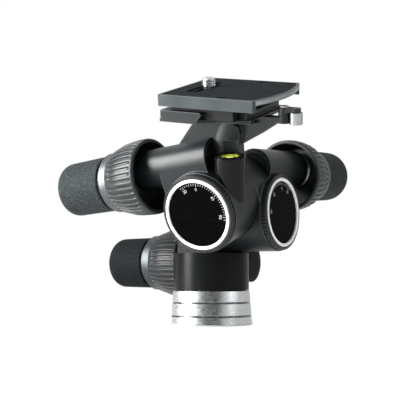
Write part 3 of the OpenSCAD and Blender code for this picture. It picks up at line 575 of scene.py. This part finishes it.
def knurledLip(look):
    # a band along the plate's round edge: at angle t the surface stands at radius R + l + p |sin(n t)| and
    # runs from the low to the high edge, with its two long edges tucked under the plate's side
    reach = math.asin(look["halfDepth"] / look["radius"])
    count = look["teeth"] * 6
    t = np.linspace(-reach, reach, count)[None, :]
    ridge = np.abs(np.sin(np.linspace(0, np.pi * look["teeth"], count)))[None, :]
    height = np.array([look["low"], look["low"] + 0.0002, look["high"] - 0.0002, look["high"]])[:, None]
    lift = np.array([-look["sunk"], 0.00004, 0.00004, -look["sunk"]])[:, None]
    inside = np.array([0, 1, 1, 0])[:, None]
    r = look["radius"] + lift + inside * look["proud"] * ridge
    x, y = look["arcX"] + r * np.cos(t), look["arcY"] + r * np.sin(t)
    points = np.stack([x, y, np.broadcast_to(height, r.shape)], -1)
    return points.reshape(-1, 3), gridFaces(4, count, False)


lipPaint = castPaint("knurledLip", {
    "dark": (0.16, 0.175, 0.18), "light": (0.3, 0.32, 0.325), "edgeColour": (0.55, 0.58, 0.59),
    "edge": 0.0002, "wearAndHighlight": 0.6, "rough": 0.32, "specular": 0.6, "grain": 0.2, "grainScale": 2600.0})
lipPoints, lipFaces = knurledLip(plateLip)
meshObject("plateKnurl", lipPoints, lipFaces, rollFrame, lipPaint, "plate", smooth=False)
print("plate edge knurled")

bubble = {"right": 0.0009, "front": -0.0008, "up": 0.0375, "radius": 0.0023, "flat": 0.00035,
          "circle": 0.0036, "line": 0.00016, "circleUp": 0.0374}


def lens(look, count):
    # a flat lens: radius R sin u and height f cos u, for u from near 0 to near pi
    u = np.linspace(0.02, np.pi - 0.02, 14)
    return turned(np.stack([look["radius"] * np.sin(u), look["flat"] * np.cos(u)], 1), count)


def circleLine(look, count):
    # a fine round bead: radius C + l cos u, height l sin u
    u = np.linspace(0, 2 * np.pi, 9)
    r = look["circle"] + look["line"] * np.cos(u)
    return turned(np.stack([r, look["line"] * np.sin(u)], 1), count)


bubbleGlass = gloss("bubbleGlass", {
    "dark": (0.72, 0.8, 0.25), "light": (0.8, 0.86, 0.4), "rough": 0.06, "specular": 0.9})
bubblePlace = rollFrame @ move(head["levelRight"] + bubble["right"], head["levelFront"] + bubble["front"],
                               bubble["up"])
circlePlace = rollFrame @ move(head["levelRight"], head["levelFront"], bubble["circleUp"])
bubblePoints, bubbleFaces = lens(bubble, 40)
meshObject("levelBubble", bubblePoints, bubbleFaces[:, ::-1], bubblePlace, bubbleGlass, "roll")
circlePoints, circleFaces = circleLine(bubble, 48)
meshObject("levelCircle", circlePoints, circleFaces, circlePlace, paints["level_black"], "roll")
print("level finished")

threadPoints, threadFaces = threadedPin(cameraScrew, 48)
threadPlace = rollFrame @ move(cameraScrew["at"][0], cameraScrew["at"][1], 0)
screwChrome = metal("screwChrome", {
    "dark": (0.55, 0.56, 0.57), "light": (0.78, 0.79, 0.8), "rough": 0.2, "grain": 0.06, "streak": 0.0,
    "stretch": (400, 400, 400), "lineScale": 2.0})
thread = meshObject("cameraScrewThread", threadPoints, threadFaces, threadPlace, screwChrome, "screw")
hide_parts("camera_screw")
print("camera screw threaded")

# the floor's glow is seen by the camera and, dimmed, by reflections; worldGloss is the share of white
# that the world adds to reflections
stageLook = {"floor": (0.94, 0.94, 0.94), "glow": 1.1, "glowShare": 0.86, "glowGloss": 0.35,
             "world": 0.35, "worldGloss": 0.5}


def stagePlane(name, centre, u, v, material):
    c, u, v = Vector(centre), Vector(u), Vector(v)
    corners = [c - u - v, c + u - v, c + u + v, c - u + v]
    mesh = bpy.data.meshes.new(name)
    mesh.from_pydata([tuple(q) for q in corners], [], [(0, 1, 2, 3)])
    plane = bpy.data.objects.new(name, mesh)
    scene.collection.objects.link(plane)
    plane.data.materials.append(material)
    return plane


def blended(tree, factor, first, second, outlet):
    mix = addNode(tree, "ShaderNodeMixShader")
    for socket, value in zip(mix.inputs, (factor, first.outputs[0], second.outputs[0])):
        tree.links.new(value, socket)
    tree.links.new(mix.outputs[0], tree.nodes[outlet].inputs["Surface"])


floorMaterial, floorTree, floorShader = startMaterial("paleFloor")
floorShader.inputs["Base Color"].default_value = (*stageLook["floor"], 1)
floorShader.inputs["Roughness"].default_value = 0.9
floorRays = addNode(floorTree, "ShaderNodeLightPath").outputs
glow = addNode(floorTree, "ShaderNodeEmission", Strength=stageLook["glow"])
glow.inputs["Color"].default_value = (1, 1, 1, 1)
dimmed = joined(floorTree, "MULTIPLY", floorRays["Is Glossy Ray"], stageLook["glowGloss"])
seen = joined(floorTree, "MAXIMUM", floorRays["Is Camera Ray"], dimmed)
share = joined(floorTree, "MULTIPLY", seen, stageLook["glowShare"])
blended(floorTree, share, floorShader, glow, "Material Output")
stagePlane("floor", (0, 0, -0.0001), (3, 0, 0), (0, 3, 0), floorMaterial)

cardMaterial, _, cardShader = startMaterial("darkCard")
cardShader.inputs["Base Color"].default_value = (0.01, 0.01, 0.01, 1)
cardShader.inputs["Roughness"].default_value = 1.0

# dark cards that only reflections see: one behind the camera, one each side
cards = {
    "behindCamera": {"centre": (0.55, -1.05, 0.35), "across": (0.62, 0.36, 0), "up": (0, 0, 0.42)},
    "rightSide": {"centre": (1.25, 0.25, 0.3), "across": (0.05, 0.24, 0), "up": (0, 0, 0.45)},
    "leftSide": {"centre": (-1.2, -0.35, 0.3), "across": (-0.12, 0.34, 0), "up": (0, 0, 0.4)},
}
for name, look in cards.items():
    card = stagePlane(name, look["centre"], look["across"], look["up"], cardMaterial)
    card.visible_camera = False
    card.visible_diffuse = False
    card.visible_shadow = False
    card.visible_transmission = False

# world: white to the camera, half white in reflections, plain grey as light
world = bpy.data.worlds.new("studio")
scene.world = world
world.use_nodes = True
worldTree = world.node_tree
background = worldTree.nodes["Background"]
background.inputs["Color"].default_value = (1, 1, 1, 1)
background.inputs["Strength"].default_value = stageLook["world"]
white = addNode(worldTree, "ShaderNodeBackground", Strength=1.0)
white.inputs["Color"].default_value = (1, 1, 1, 1)
worldRays = addNode(worldTree, "ShaderNodeLightPath").outputs
reflected = joined(worldTree, "MULTIPLY", worldRays["Is Glossy Ray"], stageLook["worldGloss"])
seen = joined(worldTree, "MAXIMUM", worldRays["Is Camera Ray"], reflected)
seen = joined(worldTree, "MAXIMUM", seen, worldRays["Is Transmission Ray"])
blended(worldTree, seen, background, white, "World Output")


def softbox(name, place, target, size, power):
    light = bpy.data.lights.new(name, "AREA")
    light.shape = "RECTANGLE"
    light.size, light.size_y = size
    light.energy = power
    lamp = bpy.data.objects.new(name, light)
    lamp.location = place
    lamp.rotation_mode = "QUATERNION"
    lamp.rotation_quaternion = (Vector(target) - Vector(place)).to_track_quat("-Z", "Y")
    scene.collection.objects.link(lamp)
    return lamp


softbox("leftBox", (-0.62, -0.64, 0.34), (0, -0.02, 0.1), (0.36, 0.64), 26.0)
softbox("topBox", (-0.25, 0.1, 0.85), (0, -0.02, 0.09), (0.4, 0.3), 2.5)
softbox("sideBox", (0.8, 0.1, 0.35), (0, 0, 0.09), (0.4, 0.5), 1.5)

cameraLook = {"place": (0.3276, -0.5379, 0.036), "turn": (94.97, 0.0, 32.1), "lens": 77.22}
cameraData = bpy.data.cameras.new("photoCamera")
cameraData.sensor_width = 36
cameraData.lens = cameraLook["lens"]
cameraData.clip_start = 0.01
camera = bpy.data.objects.new("photoCamera", cameraData)
camera.location = cameraLook["place"]
camera.rotation_euler = [math.radians(q) for q in cameraLook["turn"]]
scene.collection.objects.link(camera)
scene.camera = camera
print("studio and camera set")
